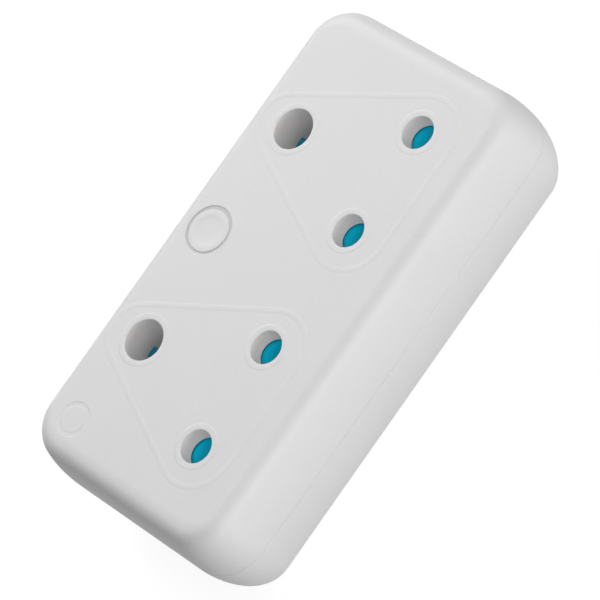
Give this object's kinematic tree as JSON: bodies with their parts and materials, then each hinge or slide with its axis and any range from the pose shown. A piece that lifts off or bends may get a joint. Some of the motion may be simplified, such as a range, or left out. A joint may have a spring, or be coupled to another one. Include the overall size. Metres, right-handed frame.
{
  "type": "multi socket adapter",
  "caption": "White low block with shuttered three-pin sockets for large round-pin plugs, a reset button and a cord inlet in one end.",
  "frame": {"origin": "centre of the flat rear face that the block lies on", "axes": "+X along the block towards the cord inlet, +Y towards the earth holes, +Z out of the socket face"},
  "size_m": [0.1196, 0.062, 0.0333],
  "materials": {
    "shell_white": "satin white moulding",
    "shutter_blue": "blue moulding",
    "carrier_grey": "dark grey moulding",
    "cutout_black": "black moulding",
    "contact_brass": "plain brass",
    "screw_steel": "zinc-plated steel",
    "bush_rubber": "grey rubber"
  },
  "bodies": {
    "housing": {"case_screws": "screw_steel", "clamp_screws": "screw_steel", "contact_carrier_1": "carrier_grey", "contact_carrier_2": "carrier_grey", "cord_clamp": "shell_white", "cutout_load_tab": "contact_brass", "cutout_supply_tab": "contact_brass", "earth_sleeve_1": "contact_brass", "earth_sleeve_2": "contact_brass", "earth_sleeve_clips": "screw_steel", "earth_strip": "contact_brass", "earth_terminal": "contact_brass", "front_shell": "shell_white", "inlet_bush": "bush_rubber", "line_sleeve_clips": "screw_steel", "live_sleeve_1": "contact_brass", "live_sleeve_2": "contact_brass", "live_strip": "contact_brass", "live_terminal": "contact_brass", "neutral_sleeve_1": "contact_brass", "neutral_sleeve_2": "contact_brass", "neutral_strip": "contact_brass", "neutral_terminal": "contact_brass", "rear_shell": "shell_white", "reset_spring": "screw_steel", "shutter_spring_1": "screw_steel", "shutter_spring_2": "screw_steel", "terminal_screws": "screw_steel", "thermal_cutout": "cutout_black"},
    "shutter_1": {"shutter_1": "shutter_blue"},
    "shutter_2": {"shutter_2": "shutter_blue"},
    "reset_button": {"reset_button": "shell_white"}
  },
  "joints": [
    {"name": "shutter_1_slide", "type": "slide", "parent": "housing", "child": "shutter_1", "axis": [0, -1, 0], "range_m": [0, 0.0085], "stiffness_N_per_m": 120, "springref_m": -0.006, "deforming": ["shutter_spring_1"]},
    {"name": "shutter_2_slide", "type": "slide", "parent": "housing", "child": "shutter_2", "axis": [0, -1, 0], "range_m": [0, 0.0085], "stiffness_N_per_m": 120, "springref_m": -0.006, "deforming": ["shutter_spring_2"]},
    {"name": "reset_button_press", "type": "slide", "parent": "housing", "child": "reset_button", "axis": [0, 0, -1], "range_m": [0, 0.002], "stiffness_N_per_m": 400, "springref_m": -0.002, "deforming": ["reset_spring"]}
  ]
}
